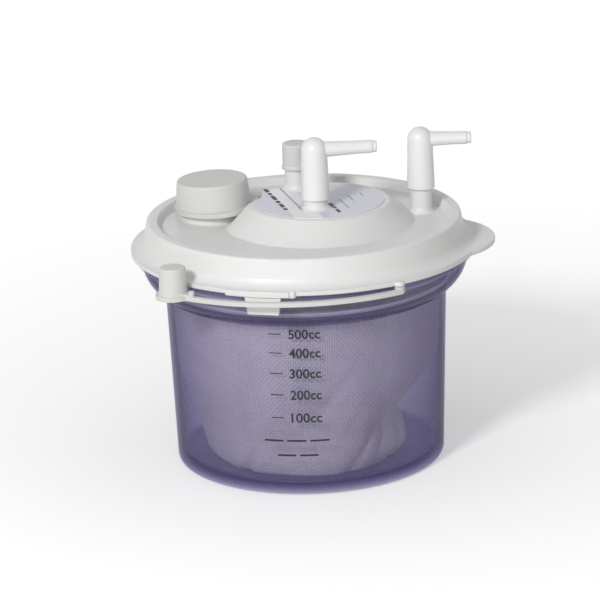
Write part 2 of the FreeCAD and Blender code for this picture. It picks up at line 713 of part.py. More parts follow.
def make_tether():
    """A strap with a blind eye at its root and a cap at its end, moulded as one."""
    end_azimuth = size("strap_end_azimuth")
    cap_azimuth = size("cap_azimuth")
    half = size("strap_width") / 2
    flange = size("tether_flange_radius")
    flange_top = size("tether_flange_thickness")
    foot_radius = size("tether_cap_foot_radius")
    top_radius = size("tether_cap_radius")
    flare = flange - foot_radius
    height = size("tether_cap_height")
    strap = turned("strap", [
        (strap_radius - half, strap_foot),
        (strap_radius + half, strap_foot),
        (strap_radius + half, strap_foot + strap_height),
        (strap_radius - half, strap_foot + strap_height),
    ], span=end_azimuth - cap_azimuth)
    place(strap, x=strap_shift, angle=(end_azimuth + cap_azimuth) / 2 - 90)
    eye = rod("tether_eye", eye_radius, jar_height - stud_gap - strap_foot, z=strap_foot, **eye_spot)
    cap = turned("tether_cap", [
        (0, 0),
        (flange, 0),
        (flange, flange_top),
        (foot_radius + 0.5 * flare, flange_top),
        Via((foot_radius + 0.1 * flare, flange_top + 0.4 * flare)),
        (foot_radius, flange_top + flare),
        (top_radius, height),
        (0, height),
    ])
    round_edges(cap, [(top_radius, height)], size("cap_round"))
    cap_spot = on_circle(strap_radius, cap_azimuth, strap_shift)
    place(cap, z=strap_foot, **cap_spot)
    rib_step = size("rib_step")
    rib = rod("tether_rib", half, strap_height + size("rib_rise"), z=strap_foot,
              **on_circle(strap_radius, cap_azimuth + rib_step, strap_shift))
    web_top = strap_foot + strap_height + size("web_rise")
    web = turned("tether_web", [
        (strap_radius - 1.5 * half, strap_foot),
        (strap_radius + half, strap_foot),
        (strap_radius + half, web_top),
        (strap_radius - 1.5 * half, web_top),
    ], span=rib_step)
    place(web, x=strap_shift, angle=cap_azimuth + rib_step / 2 - 90)
    cap_bore = rod("tether_cap_bore", nipple_radius + size("fit_clearance"),
                   height - size("tether_cap_roof") + OVERLAP, z=strap_foot - OVERLAP, **cap_spot)
    stud_bore = rod("tether_eye_bore", eye_bore, jar_height - eye_floor, z=eye_floor, **eye_spot)
    whole = fused("tether_whole", [strap, eye, cap, rib, web])
    return cut("front_tether", whole, fused("tether_bores", [cap_bore, stud_bore]))


def make_spout():
    body = turned("pour_spout", [
        (0, -OVERLAP),
        (spout_radius, -OVERLAP),
        (spout_radius, spout_height),
        (0, spout_height),
    ])
    return place(body, **spout_place)


def make_spout_bore():
    body = turned("pour_spout_bore", [
        (0, -3 * OVERLAP),
        (spout_radius - size("spout_wall"), -3 * OVERLAP),
        (spout_radius - size("spout_wall"), spout_height + OVERLAP),
        (0, spout_height + OVERLAP),
    ])
    return place(body, **spout_place)


def make_valve_boss():
    """The ring under the dome that the float housing is pushed on to."""
    top = plateau_height - lid_wall
    outer = size("valve_boss_radius")
    inner = outer - size("valve_boss_wall")
    depth = size("valve_boss_depth")
    ring = rod("valve_boss_ring", outer, depth + 0.5 * OVERLAP, z=top - depth, **PORT_SPOTS["vacuum"])
    hole = rod("valve_boss_hole", inner, depth + OVERLAP, z=top - depth - OVERLAP, **PORT_SPOTS["vacuum"])
    return cut("valve_boss", ring, hole)


def make_lid():
    rounding = size("plateau_round")
    outer = fused("lid_outside", [lid_disc(), dome("dome", 0, trough_height - OVERLAP, 0, rounding)])
    inner = fused("lid_inside", [
        lid_cavity(),
        dome("dome_hollow", lid_wall, trough_height - lid_wall - OVERLAP, lid_wall, 0.5 * rounding),
    ])
    shell = cut("lid_shell", outer, inner)
    added = [shell, make_lug(), make_lug_end(), make_tongue(), make_tab(), make_ear()]
    added += [make_spout(), make_valve_boss()] + [make_port(port) for port in PORT_SPOTS]
    bores = [make_port_bore(port) for port in PORT_SPOTS] + [make_spout_bore()]
    return cut("lid", fused("lid_solid", added), fused("lid_bores", bores))


# Elbows and the tandem cap
def make_elbow(port, turn):
    foot = size("elbow_foot_radius")
    top = size("elbow_top_radius")
    height = size("elbow_height")
    shoulder = height - top
    outlet_height = size("elbow_outlet_height")
    reach = size(f"{port}_outlet_reach")
    grip = size("outlet_radius")
    step = size("outlet_tip_step")
    tip = reach - size("outlet_tip_length")
    tube = turned(f"{port}_elbow_tube", [
        (0, 0),
        (foot, 0),
        (top, shoulder),
        Via((top * HALF_RIGHT_ANGLE_SINE, shoulder + top * HALF_RIGHT_ANGLE_SINE)),
        (0, height),
    ])
    side_tube = turned(f"{port}_elbow_outlet", [
        (0, 0),
        (0, size("outlet_root_radius")),
        (reach - size("outlet_grip"), grip),
        (tip, grip),
        (tip, grip - step),
        (reach - step, grip - step),
        (reach, grip - 2 * step),
        (reach, 0),
    ], along_x=True)
    place(side_tube, z=outlet_height)
    socket_depth = nipple_height + size("seat_gap")
    socket = rod(f"{port}_elbow_socket", nipple_radius + size("fit_clearance"), socket_depth + OVERLAP,
                 z=-OVERLAP)
    riser = rod(f"{port}_elbow_riser", size("outlet_bore"), outlet_height)
    passage = rod(f"{port}_elbow_passage", size("outlet_bore"), reach + OVERLAP, z=outlet_height,
                  axis=Vector(0, 1, 0), angle=90)
    whole = fused(f"{port}_elbow_whole", [tube, side_tube])
    elbow = cut(f"{port}_elbow", whole, fused(f"{port}_elbow_bores", [socket, riser, passage]))
    foot_height = PORT_HEIGHTS[port] + size(f"{port}_port_shoulder") + size("seat_gap")
    return place(elbow, z=foot_height, angle=turn, **PORT_SPOTS[port])


def make_tandem_cap():
    top = size("tandem_cap_radius")
    height = size("tandem_cap_height")
    foot = size("tandem_cap_foot_radius")
    lip = 0.1 * height
    body = turned("tandem_cap_body", [
        (0, 0),
        (foot, 0),
        (foot, lip),
        (top, 1.6 * lip),
        (top, height),
        (0, height),
    ])
    round_edges(body, [(top, height)], size("cap_round"))
    bore = rod("tandem_cap_bore", nipple_radius + size("fit_clearance"),
               nipple_height + size("seat_gap") + OVERLAP, z=-OVERLAP)
    cap = cut("tandem_cap", body, bore)
    foot_height = plateau_height + size("tandem_port_shoulder") + size("seat_gap")
    return place(cap, z=foot_height, **PORT_SPOTS["tandem"])


def make_spout_cap():
    base = size("spout_cap_base")
    top = base + size("spout_cap_height")
    thickness = size("spout_flange_thickness")
    shell = turned("spout_cap_shell", [
        (0, base),
        (size("spout_cap_radius"), base),
        (size("spout_cap_radius"), base + thickness),
        (size("spout_cap_top_radius"), top),
        (0, top),
    ])
    round_edges(shell, [(size("spout_cap_top_radius"), top)], size("spout_cap_round"))
    flange = rod("spout_cap_flange", flange_reach, thickness, x=flange_shift, z=base)
    tab_end = flange_shift + flange_reach + size("thumb_tab_reach")
    tab = plate("spout_cap_tab", [
        (spout_radius, base),
        (tab_end, base),
        (tab_end, base + 0.8 * thickness),
        (spout_radius, base + thickness),
    ], size("thumb_tab_width"))
    hollow = rod("spout_cap_hollow", spout_radius + size("fit_clearance"), spout_cap_hollow, z=0)
    whole = fused("spout_cap_whole", [shell, flange, tab])
    return place(cut("spout_cap", whole, hollow), **spout_place)


# Label
def make_label():
    thickness = size("label_thickness")
    margin = size("label_margin")
    disc = rod("label_disc", plateau_radius - size("label_inset"), thickness, x=dome_shift, z=plateau_height)
    holes = [
        rod(f"label_{port}_hole", size(f"{port}_port_radius") + size("port_flare") + margin,
            thickness + 2 * OVERLAP, z=plateau_height - OVERLAP, **PORT_SPOTS[port])
        for port in ("vacuum", "tandem")
    ]
    holes.append(rod("label_recess", flange_reach + size("spout_recess_gap") + margin,
                     thickness + 2 * OVERLAP, x=spout_spot["x"] + flange_shift, y=spout_spot["y"],
                     z=plateau_height - OVERLAP))
    return cut("label", disc, fused("label_holes", holes))


# Shut-off float under the vacuum port
ceiling = plateau_height - lid_wall
housing_radius = size("valve_boss_radius") + size("fit_clearance")
housing_foot = ceiling - size("housing_depth")
float_foot = size("housing_floor") + size("seat_gap")


def make_float_housing():
    outer = housing_radius + size("housing_wall")
    floor = size("housing_floor")
    depth = size("housing_depth") - size("seat_gap")
    body = turned("float_housing_body", [
        (size("housing_floor_bore"), 0),
        (outer, 0),
        (outer, depth),
        (housing_radius, depth),
        (housing_radius, floor),
        (size("housing_floor_bore"), floor),
    ])
    wide = size("housing_window_width")
    long = 3 * outer
    windows = []
    for number, (x_length, y_length) in enumerate(((long, wide), (wide, long)), start=1):
        box = doc.addObject("Part::Box", f"housing_windows_{number}")
        bind(box, Length=x_length, Width=y_length, Height=size("housing_window_height"))
        windows.append(place(box, x=-x_length / 2, y=-y_length / 2, z=3 * floor))
    housing = cut("float_housing", body, fused("housing_windows", windows))
    return place(housing, z=housing_foot, **PORT_SPOTS["vacuum"])


def make_float():
    wall = size("float_wall")
    radius = size("float_radius")
    neck = size("float_neck_radius")
    body_top = size("float_body_height")
    top = size("float_height")
    body = turned("float", [
        (radius - wall, 0),
        (radius, 0),
        (radius, body_top),
        (neck, body_top),
        (neck, top),
        (0, top),
        (0, top - wall),
        (neck - wall, top - wall),
        (neck - wall, body_top - wall),
        (radius - wall, body_top - wall),
    ])
    return place(body, z=housing_foot + float_foot, **PORT_SPOTS["vacuum"])


def make_float_seal():
    thickness = size("float_seal_thickness")
    radius = size("float_seal_radius")
    body = turned("float_seal", [
        (0, 0),
        (radius, 0),
        (radius, 0.6 * thickness),
        (0.8 * radius, thickness),
        (0, thickness),
    ])
    return place(body, z=housing_foot + float_foot + size("float_height"), **PORT_SPOTS["vacuum"])


NODES = {
    "jar": make_jar(),
    "bag_hoop": make_hoop(),
    "bag": make_bag(),
    "lid": make_lid(),
    "label": make_label(),
    "spout_cap": make_spout_cap(),
    "tandem_cap": make_tandem_cap(),
    "vacuum_elbow": make_elbow("vacuum", size("vacuum_elbow_turn")),
    "inlet_elbow": make_elbow("inlet", 0),
    "front_tether": make_tether(),
    "float_housing": make_float_housing(),
    "float": make_float(),
    "float_seal": make_float_seal(),
}

doc.recompute()
for feature in doc.Objects:
    if "Invalid" in feature.State or "Error" in feature.State:
        raise RuntimeError(f"{feature.Name} failed: {feature.getStatusString()}")

os.makedirs("parts", exist_ok=True)
for name, feature in NODES.items():
    feature.Label = name
    shape = feature.Shape
    if shape.isNull() or not shape.isValid() or len(shape.Solids) != 1:
        raise RuntimeError(f"{name} is not one valid solid")
    shape.exportStep(f"parts/{name}.step")
    print(f"{name}: {shape.Volume:.1f} mm3, {len(shape.Faces)} faces, height {shape.BoundBox.ZMin:.2f} to "
          f"{shape.BoundBox.ZMax:.2f}")
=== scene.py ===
"""Looks of a suction canister: a violet tinted clear jar, a white moulded lid with its ports, caps and strap, and a
woven filter bag that hangs inside from a hoop.

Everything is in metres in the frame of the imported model: the origin is the middle of the jar's base, Z is up and the
front, where the volume scale is printed, faces -Y. An azimuth is counted from the front towards +X.
"""

import logging
import math
from dataclasses import dataclass
from enum import Enum

import bpy
from mathutils import Matrix, Vector, noise


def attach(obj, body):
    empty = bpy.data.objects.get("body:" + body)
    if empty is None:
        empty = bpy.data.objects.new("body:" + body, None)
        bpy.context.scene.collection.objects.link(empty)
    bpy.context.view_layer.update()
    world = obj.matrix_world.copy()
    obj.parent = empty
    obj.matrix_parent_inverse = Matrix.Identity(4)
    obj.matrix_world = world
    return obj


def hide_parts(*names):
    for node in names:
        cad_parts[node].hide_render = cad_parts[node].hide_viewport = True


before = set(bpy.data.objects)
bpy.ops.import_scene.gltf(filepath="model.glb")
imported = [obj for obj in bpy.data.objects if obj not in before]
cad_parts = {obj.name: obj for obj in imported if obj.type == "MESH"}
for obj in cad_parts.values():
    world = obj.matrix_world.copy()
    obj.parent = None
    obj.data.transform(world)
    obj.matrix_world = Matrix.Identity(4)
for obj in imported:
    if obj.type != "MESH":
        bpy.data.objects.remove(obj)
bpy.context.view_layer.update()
MM = 0.001

log = logging.getLogger("canister")


# Shared helpers


def linear(colour: str) -> tuple[float, float, float, float]:
    """Turn a colour as it is seen on a screen into the linear one that shaders use.

    Args:
        colour: sRGB hex value such as "#f2f2ee".

    Returns:
        Linear red, green and blue from 0 to 1, and an alpha of 1.
    """
    channels = [int(colour[start:start + 2], 16) / 255 for start in (1, 3, 5)]
    curve = [c / 12.92 if c <= 0.04045 else ((c + 0.055) / 1.055) ** 2.4 for c in channels]
    return (curve[0], curve[1], curve[2], 1.0)


def add(tree: bpy.types.NodeTree, kind: str, inputs: dict | None = None, **settings) -> bpy.types.Node:
    """Add a node with its settings, then its values and links.

    Args:
        tree: Node tree of the material or world.
        kind: Blender's name for the node's type.
        inputs: Value or linked output for each input, by the input's name or number.
        settings: Properties of the node itself.

    Returns:
        The new node.
    """
    node = tree.nodes.new(kind)
    for name, value in settings.items():
        setattr(node, name, value)
    for socket, value in (inputs or {}).items():
        if isinstance(value, bpy.types.NodeSocket):
            tree.links.new(value, node.inputs[socket])
        else:
            node.inputs[socket].default_value = value
    return node


def blank_material(name: str) -> tuple[bpy.types.Material, bpy.types.NodeTree]:
    """Make a material with an empty node tree.

    Args:
        name: The material's name.

    Returns:
        The material and its tree.
    """
    material = bpy.data.materials.new(name)
    material.use_nodes = True
    material.node_tree.nodes.clear()
    return material, material.node_tree


def dress(node: str, material: bpy.types.Material) -> None:
    """Give every material slot of a carried-over solid the same finish.

    Args:
        node: Name of the solid.
        material: The finish.
    """
    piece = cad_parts[node]
    if not piece.material_slots:
        piece.data.materials.append(None)
    for slot in piece.material_slots:
        slot.link = "OBJECT"
        slot.material = material
    log.info("%s is dressed in %s", node, material.name)


def mesh_piece(name: str, points: list[Vector], faces: list[tuple], material: bpy.types.Material,
               smooth: bool = True) -> bpy.types.Object:
    """Make a mesh object in the scene.

    Args:
        name: The piece's name.
        points: Its points in metres.
        faces: Its faces as numbers of points.
        material: Its finish.
        smooth: Whether its faces are shaded as one rounded surface.

    Returns:
        The new object.
    """
    mesh = bpy.data.meshes.new(name)
    mesh.from_pydata([tuple(point) for point in points], [], faces)
    mesh.materials.append(material)
    mesh.polygons.foreach_set("use_smooth", [smooth] * len(mesh.polygons))
    piece = bpy.data.objects.new(name, mesh)
    bpy.context.scene.collection.objects.link(piece)
    return piece


def around(radius: float, azimuth: float, height: float) -> Vector:
    """Give the point at an azimuth in radians, counted from the front towards +X."""
    return Vector((radius * math.sin(azimuth), -radius * math.cos(azimuth), height))


# Finishes


class Grain(Enum):
    """How the steel of a mould was finished, as the grain's width in mm and its depth in mm."""

    POLISHED = (2.4, 0.0012)
    SATIN = (0.9, 0.012)
    SPARKED = (0.7, 0.022)


@dataclass(frozen=True)
class MouldedPlastic:
    """Opaque injection-moulded plastic: an even colour, a soft sheen and a little light that enters the wall.

    Attributes:
        name: The material's name.
        colour: Its colour.
        flow: The colour of the bands that the resin's flow leaves.
        grain: How the mould was finished.
        roughness: Middle of its roughness.
        index: Its index of refraction.
        scatter: Share of the light that enters the wall.
        flow_width: Width of the flow's bands in mm.
        scuff_width: Width of the rubbed patches in mm.
        edge: Radius of its edges in mm.
        wear: How far the roughness goes up and down.
        scatter_depth: How deep the light that enters the wall goes, in mm.
    """

    name: str
    colour: str
    flow: str
    grain: Grain
    roughness: float
    index: float = 1.51
    scatter: float = 0.12
    flow_width: float = 38.0
    scuff_width: float = 5.0
    edge: float = 0.4
    wear: float = 0.07
    scatter_depth: float = 1.5

    def material(self) -> bpy.types.Material:
        """Build the node material.

        Returns:
            The finish as a Blender material.
        """
        material, tree = blank_material(self.name)
        place = add(tree, "ShaderNodeTexCoord").outputs["Object"]
        # The resin's flow in the mould leaves wide, faint bands in the colour.
        bands = add(tree, "ShaderNodeTexNoise", {
            "Vector": place, "Scale": 1 / (self.flow_width * MM), "Detail": 3.0, "Distortion": 0.6})
        colour = add(tree, "ShaderNodeMix", {
            "Factor": bands.outputs["Fac"], "A": linear(self.colour), "B": linear(self.flow)}, data_type="RGBA")
        # Handling rubs some places a little smoother than others.
        scuffs = add(tree, "ShaderNodeTexNoise", {
            "Vector": place, "Scale": 1 / (self.scuff_width * MM), "Detail": 5.0, "Roughness": 0.62})
        sheen = add(tree, "ShaderNodeMapRange", {
            "Value": scuffs.outputs["Fac"], "From Min": 0.3, "From Max": 0.7,
            "To Min": self.roughness - self.wear, "To Max": self.roughness + self.wear})
        width, depth = self.grain.value
        # The mould's own grain is about a third as wide and is drawn coarser so that it shows.
        skin = add(tree, "ShaderNodeTexNoise", {"Vector": place, "Scale": 1 / (width * MM), "Detail": 2.0})
        # The edges of a moulding are never sharp, so they catch a fine line of light.
        edges = add(tree, "ShaderNodeBevel", {"Radius": self.edge * MM}, samples=6)
        bump = add(tree, "ShaderNodeBump", {
            "Strength": 0.6, "Distance": depth * MM, "Height": skin.outputs["Fac"],
            "Normal": edges.outputs["Normal"]})
        surface = add(tree, "ShaderNodeBsdfPrincipled", {
            "Base Color": colour.outputs["Result"], "Roughness": sheen.outputs["Result"], "IOR": self.index,
            "Subsurface Weight": self.scatter, "Subsurface Radius": (1.0, 0.95, 0.85),
            "Subsurface Scale": self.scatter_depth * MM, "Normal": bump.outputs["Normal"]})
        add(tree, "ShaderNodeOutputMaterial", {"Surface": surface.outputs["BSDF"]})
        return material


@dataclass(frozen=True)
class TintedClear:
    """Clear styrene resin with a violet tint: the longer the way through the wall, the deeper the violet.

    Attributes:
        name: The material's name.
        face: Tint of the bent share of the sight.
        tint: Colour that the resin leaves of white light.
        density: How strongly it tints, per metre.
        lamp_tint: Colour of what passes straight through a face.
        bend: Share of the sight that is bent.
        edge: Radius of its edges in mm.
        shine: Colour of its gloss.
        index: Its index of refraction.
        roughness: Roughness where it is well polished.
        wave_width: Width of the resin's waves in mm.
        wave_depth: Depth of the waves in mm.
        rub_width: Width of the rubbed patches in mm.
        wear: How much rougher the rubbed patches are.
    """

    name: str
    face: str
    tint: str
    density: float
    lamp_tint: str
    bend: float = 0.12
    edge: float = 0.8
    shine: str = "#aaa4bd"
    index: float = 1.57
    roughness: float = 0.03
    wave_width: float = 9.0
    wave_depth: float = 0.03
    rub_width: float = 3.0
    wear: float = 0.09

    def material(self) -> bpy.types.Material:
        """Build the node material.

        Returns:
            The finish as a Blender material.
        """
        material, tree = blank_material(self.name)
        place = add(tree, "ShaderNodeTexCoord").outputs["Object"]
        # Long soft waves from the flow of the resin, stretched up the wall.
        stretched = add(tree, "ShaderNodeMapping", {"Vector": place, "Scale": (1.0, 1.0, 0.35)})
        waves = add(tree, "ShaderNodeTexNoise", {
            "Vector": stretched.outputs["Vector"], "Scale": 1 / (self.wave_width * MM), "Detail": 1.0})
        # Its moulded edges are slightly round and catch a line of light.
        edges = add(tree, "ShaderNodeBevel", {"Radius": self.edge * MM}, samples=6)
        bump = add(tree, "ShaderNodeBump", {
            "Strength": 0.5, "Distance": self.wave_depth * MM, "Height": waves.outputs["Fac"],
            "Normal": edges.outputs["Normal"]})
        # Fine rubs from handling dull the polish in patches.
        rubs = add(tree, "ShaderNodeTexNoise", {
            "Vector": place, "Scale": 1 / (self.rub_width * MM), "Detail": 6.0, "Roughness": 0.7})
        polish = add(tree, "ShaderNodeMapRange", {
            "Value": rubs.outputs["Fac"], "From Min": 0.45, "From Max": 0.75,
            "To Min": self.roughness, "To Max": self.roughness + self.wear})
        surface = add(tree, "ShaderNodeBsdfPrincipled", {
            "Base Color": linear(self.face), "Roughness": polish.outputs["Result"], "IOR": self.index,
            "Transmission Weight": 1.0, "Normal": bump.outputs["Normal"]})
        # The wall is thin, so most of what lies behind it is seen in its true place, and the long way through the
        # resin at both sides and along the base is the deepest violet.
        open_wall = add(tree, "ShaderNodeBsdfTransparent", {"Color": linear(self.lamp_tint)})
        clear = add(tree, "ShaderNodeMixShader", {
            0: self.bend, 1: open_wall.outputs["BSDF"], 2: surface.outputs["BSDF"]})
        shine = add(tree, "ShaderNodeBsdfGlossy", {
            "Color": linear(self.shine), "Roughness": polish.outputs["Result"], "Normal": bump.outputs["Normal"]})
        glance = add(tree, "ShaderNodeFresnel", {"IOR": self.index, "Normal": bump.outputs["Normal"]})
        facing = add(tree, "ShaderNodeMath", {
            0: 1.0, 1: add(tree, "ShaderNodeNewGeometry").outputs["Backfacing"]}, operation="SUBTRACT")
        gloss = add(tree, "ShaderNodeMath", {0: glance.outputs[0], 1: facing.outputs[0]}, operation="MULTIPLY")
        polished = add(tree, "ShaderNodeMixShader", {
            0: gloss.outputs[0], 1: clear.outputs["Shader"], 2: shine.outputs["BSDF"]})
        # Light shines straight through, so that what the jar holds is lit.
        path = add(tree, "ShaderNodeLightPath")
        light = add(tree, "ShaderNodeMath", {
            0: path.outputs["Is Shadow Ray"], 1: path.outputs["Is Diffuse Ray"]}, operation="MAXIMUM")
        wall = add(tree, "ShaderNodeMixShader", {
            0: light.outputs[0], 1: polished.outputs["Shader"], 2: open_wall.outputs["BSDF"]})
        inside = add(tree, "ShaderNodeVolumeAbsorption", {"Color": linear(self.tint), "Density": self.density})
        add(tree, "ShaderNodeOutputMaterial", {
            "Surface": wall.outputs["Shader"], "Volume": inside.outputs["Volume"]})
        return material


@dataclass(frozen=True)
class WovenMesh:
    """Plain-woven monofilament nylon: pale round threads with open gaps between them.

    Attributes:
        name: The material's name.
        thread: Colour of a thread.
        crossing_highlight: Colour where two threads cross, drawn lighter as a painted highlight.
        pitch: Distance between threads in mm.
        cover: Share of the pitch that a thread covers.
        roughness: Middle of its roughness.
        gap_low: How much a gap shows where the weave is open.
        gap_high: How much a gap shows where the weave is close.
        soften: How softly a thread ends at a gap.
        patch_rate: Patches of closer weave per mm.
        wear: How far the roughness goes up and down.
        thread_height: How far a thread stands out, in mm.
    """

    name: str
    thread: str
    crossing_highlight: str
    pitch: float = 1.0
    cover: float = 0.5
    roughness: float = 0.36
    gap_low: float = 0.6
    gap_high: float = 0.82
    soften: float = 0.12
    patch_rate: float = 0.09
    wear: float = 0.1
    thread_height: float = 0.18

    def material(self) -> bpy.types.Material:
        """Build the node material.

        Returns:
            The finish as a Blender material.
        """
        material, tree = blank_material(self.name)
        # The map runs in mm along both threads. The cloth has about twice as many threads, drawn coarser to show.
        place = add(tree, "ShaderNodeUVMap", uv_map="threads").outputs["UV"]
        axes = add(tree, "ShaderNodeSeparateXYZ", {"Vector": place})
        turns = [add(tree, "ShaderNodeMath", {0: axes.outputs[axis], 1: math.pi / self.pitch}, operation="MULTIPLY")
                 for axis in ("X", "Y")]
        rounds = [add(tree, "ShaderNodeMath", {0: turn.outputs[0]}, operation="SINE") for turn in turns]
        heights = [add(tree, "ShaderNodeMath", {0: r.outputs[0]}, operation="ABSOLUTE") for r in rounds]
        top = add(tree, "ShaderNodeMath", {0: heights[0].outputs[0], 1: heights[1].outputs[0]}, operation="MAXIMUM")
        low = add(tree, "ShaderNodeMath", {0: heights[0].outputs[0], 1: heights[1].outputs[0]}, operation="MINIMUM")
        edge = math.cos(0.5 * math.pi * self.cover)
        threads = add(tree, "ShaderNodeMapRange", {
            "Value": top.outputs[0], "From Min": edge - self.soften, "From Max": edge + self.soften})
        # Uneven spacing of the threads makes patches that are more open or closer.
        wander = add(tree, "ShaderNodeTexNoise", {"Vector": place, "Scale": self.patch_rate, "Detail": 2.0})
        closeness = add(tree, "ShaderNodeMapRange", {
            "Value": wander.outputs["Fac"], "From Min": 0.3, "From Max": 0.7,
            "To Min": self.gap_low, "To Max": self.gap_high})
        shown = add(tree, "ShaderNodeMath", {
            0: threads.outputs["Result"], 1: closeness.outputs["Result"]}, operation="MAXIMUM")
        # Where two threads cross, the colour turns lighter: a painted highlight on the raised crossings.
        colour = add(tree, "ShaderNodeMix", {
            "Factor": low.outputs[0], "A": linear(self.thread), "B": linear(self.crossing_highlight)}, data_type="RGBA")
        rubbed = add(tree, "ShaderNodeMapRange", {
            "Value": wander.outputs["Fac"],
            "To Min": self.roughness - self.wear, "To Max": self.roughness + self.wear})
        weave = add(tree, "ShaderNodeMath", {0: rounds[0].outputs[0], 1: rounds[1].outputs[0]}, operation="MULTIPLY")
        relief = add(tree, "ShaderNodeMath", {0: top.outputs[0], 1: weave.outputs[0]}, operation="ADD")
        bump = add(tree, "ShaderNodeBump", {
            "Strength": 0.8, "Distance": self.thread_height * MM, "Height": relief.outputs[0]})
        surface = add(tree, "ShaderNodeBsdfPrincipled", {
            "Base Color": colour.outputs["Result"], "Roughness": rubbed.outputs["Result"], "IOR": 1.53,
            "Sheen Weight": 0.15, "Alpha": shown.outputs[0], "Normal": bump.outputs["Normal"]})
        add(tree, "ShaderNodeOutputMaterial", {"Surface": surface.outputs["BSDF"]})
        return material


@dataclass(frozen=True)
class CoatedFilm:
    """Coated polypropylene label film: a pale printed ground with a whiter band of painted light across it.

    Attributes:
        name: The material's name.
        ground: Colour of the printed ground.
        painted_light: Colour of the band of painted light, a lit patch on the label.
        painted_light_near: Near side of the band of painted light in mm.
        painted_light_far: Far side of the band of painted light in mm.
        lean: How far the band of painted light leans from the lid's middle line, in degrees.
        feather: How softly the printed ground gives way to the painted light, in mm.
        peel_width: Width of the orange peel's dimples in mm.
        peel_depth: Depth of the dimples in mm.
    """

    name: str
    ground: str
    painted_light: str
    painted_light_near: float = -10.0
    painted_light_far: float = 1.0
    lean: float = 15.0
    feather: float = 0.3
    peel_width: float = 2.2
    peel_depth: float = 0.02

    def material(self) -> bpy.types.Material:
        """Build the node material.

        Returns:
            The finish as a Blender material.
        """
        material, tree = blank_material(self.name)
        place = add(tree, "ShaderNodeTexCoord").outputs["Object"]
        # A whiter band of painted light, a lit patch, lies across the printed ground; this finds how far a point is
        # from it.
        turned = add(tree, "ShaderNodeMapping", {
            "Vector": place, "Rotation": (0.0, 0.0, math.radians(-self.lean))}, vector_type="POINT")
        across = add(tree, "ShaderNodeSeparateXYZ", {"Vector": turned.outputs["Vector"]}).outputs["X"]
        middle = 0.5 * (self.painted_light_near + self.painted_light_far) * MM
        half = 0.5 * (self.painted_light_far - self.painted_light_near) * MM
        offset = add(tree, "ShaderNodeMath", {0: across, 1: middle}, operation="SUBTRACT")
        away = add(tree, "ShaderNodeMath", {0: offset.outputs[0]}, operation="ABSOLUTE")
        printed = add(tree, "ShaderNodeMapRange", {
            "Value": away.outputs[0], "From Min": half - self.feather * MM, "From Max": half + self.feather * MM})
        # Inside the band the colour is the whiter painted light, and outside it is the printed ground.
        colour = add(tree, "ShaderNodeMix", {
            "Factor": printed.outputs["Result"], "A": linear(self.painted_light), "B": linear(self.ground)},
            data_type="RGBA")
        # The glue leaves a slight orange peel under the film.
        peel = add(tree, "ShaderNodeTexNoise", {
            "Vector": place, "Scale": 1 / (self.peel_width * MM), "Detail": 2.0})
        bump = add(tree, "ShaderNodeBump", {
            "Strength": 0.4, "Distance": self.peel_depth * MM, "Height": peel.outputs["Fac"]})
        gloss = add(tree, "ShaderNodeMapRange", {"Value": peel.outputs["Fac"], "To Min": 0.3, "To Max": 0.45})
        surface = add(tree, "ShaderNodeBsdfPrincipled", {
            "Base Color": colour.outputs["Result"], "Roughness": gloss.outputs["Result"], "IOR": 1.49,
            "Normal": bump.outputs["Normal"]})
        add(tree, "ShaderNodeOutputMaterial", {"Surface": surface.outputs["BSDF"]})
        return material


@dataclass(frozen=True)
class PrintedInk:
    """Screen-printed ink: a thin even film with tiny pinholes that lighten it.

    Attributes:
        name: The material's name.
        colour: Its colour where it is thick.
        thin: Its colour where it is thin.
        roughness: Its roughness.
        speck_width: Width of the pinholes in mm.
    """

    name: str
    colour: str
    thin: str
    roughness: float = 0.5
    speck_width: float = 0.5

    def material(self) -> bpy.types.Material:
        """Build the node material.

        Returns:
            The finish as a Blender material.
        """
        material, tree = blank_material(self.name)
        place = add(tree, "ShaderNodeTexCoord").outputs["Object"]
        specks = add(tree, "ShaderNodeTexNoise", {
            "Vector": place, "Scale": 1 / (self.speck_width * MM), "Detail": 3.0})
        thin = add(tree, "ShaderNodeMapRange", {"Value": specks.outputs["Fac"], "From Min": 0.55, "From Max": 0.8})
        colour = add(tree, "ShaderNodeMix", {
            "Factor": thin.outputs["Result"], "A": linear(self.colour), "B": linear(self.thin)}, data_type="RGBA")
        surface = add(tree, "ShaderNodeBsdfPrincipled", {
            "Base Color": colour.outputs["Result"], "Roughness": self.roughness, "IOR": 1.48})
        add(tree, "ShaderNodeOutputMaterial", {"Surface": surface.outputs["BSDF"]})
        return material


# A satin white with wide soft highlights along the lid's rims.
WHITE_LID = MouldedPlastic("polyethylene_satin_moulded", "#eaeae9", "#e3e3e2", Grain.SATIN, 0.42)
# A duller white for the caps and the strap, drawn greyer than the lid as painted shade for the caps' darker tops.
CAP_WHITE_SHADED = MouldedPlastic("polyethylene_matte_painted_shade", "#dbdcd9", "#d3d4d1", Grain.SPARKED, 0.5)
# The brightest white, with a small sharp highlight on the elbows' domed heads.
WHITE_ELBOW = MouldedPlastic(
    "vinyl_gloss_moulded", "#f0f1f0", "#ebecea", Grain.POLISHED, 0.3, index=1.53, scatter=0.05, wear=0.03)
# A slightly milky white for the hoop and the float set inside.
WHITE_INNER = MouldedPlastic(
    "polypropylene_satin_moulded", "#ececea", "#e2e3e2", Grain.SATIN, 0.4, scatter=0.2)
# A dull light grey for the float's soft disc.
GREY_RUBBER = MouldedPlastic(
    "silicone_rubber_moulded", "#b9bbbd", "#a9abae", Grain.SPARKED, 0.6, index=1.41)
# A clear grey violet in the middle that turns deep violet at both sides and along the base.
VIOLET_JAR = TintedClear("styrene_clear_tinted", "#e2deec", "#7e70b6", 190.0, "#fdfcff")
